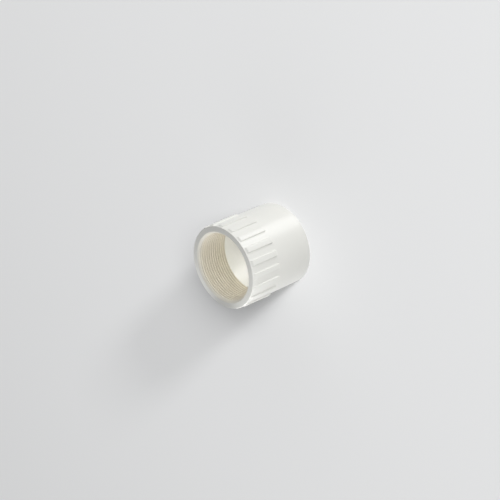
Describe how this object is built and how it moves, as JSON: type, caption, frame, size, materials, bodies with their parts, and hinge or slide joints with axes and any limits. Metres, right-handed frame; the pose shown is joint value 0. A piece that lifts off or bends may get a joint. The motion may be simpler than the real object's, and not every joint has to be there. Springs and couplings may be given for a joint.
{
  "type": "female threaded adapter",
  "caption": "Short moulded pipe adapter: a smooth cement socket at one end, a female-threaded mouth ringed by raised grip ribs at the other.",
  "frame": {"origin": "centre of the socket end's rim, on the bore's axis", "axes": "+Z along the bore axis, out of the threaded mouth; +X through the middle of one grip rib"},
  "size_m": [0.0712, 0.0712, 0.0644],
  "materials": {
    "white_pvc": "white rigid plastic, moulded, with a soft gloss"
  },
  "bodies": {
    "root": {"adapter_body": "white_pvc"}
  },
  "joints": []
}
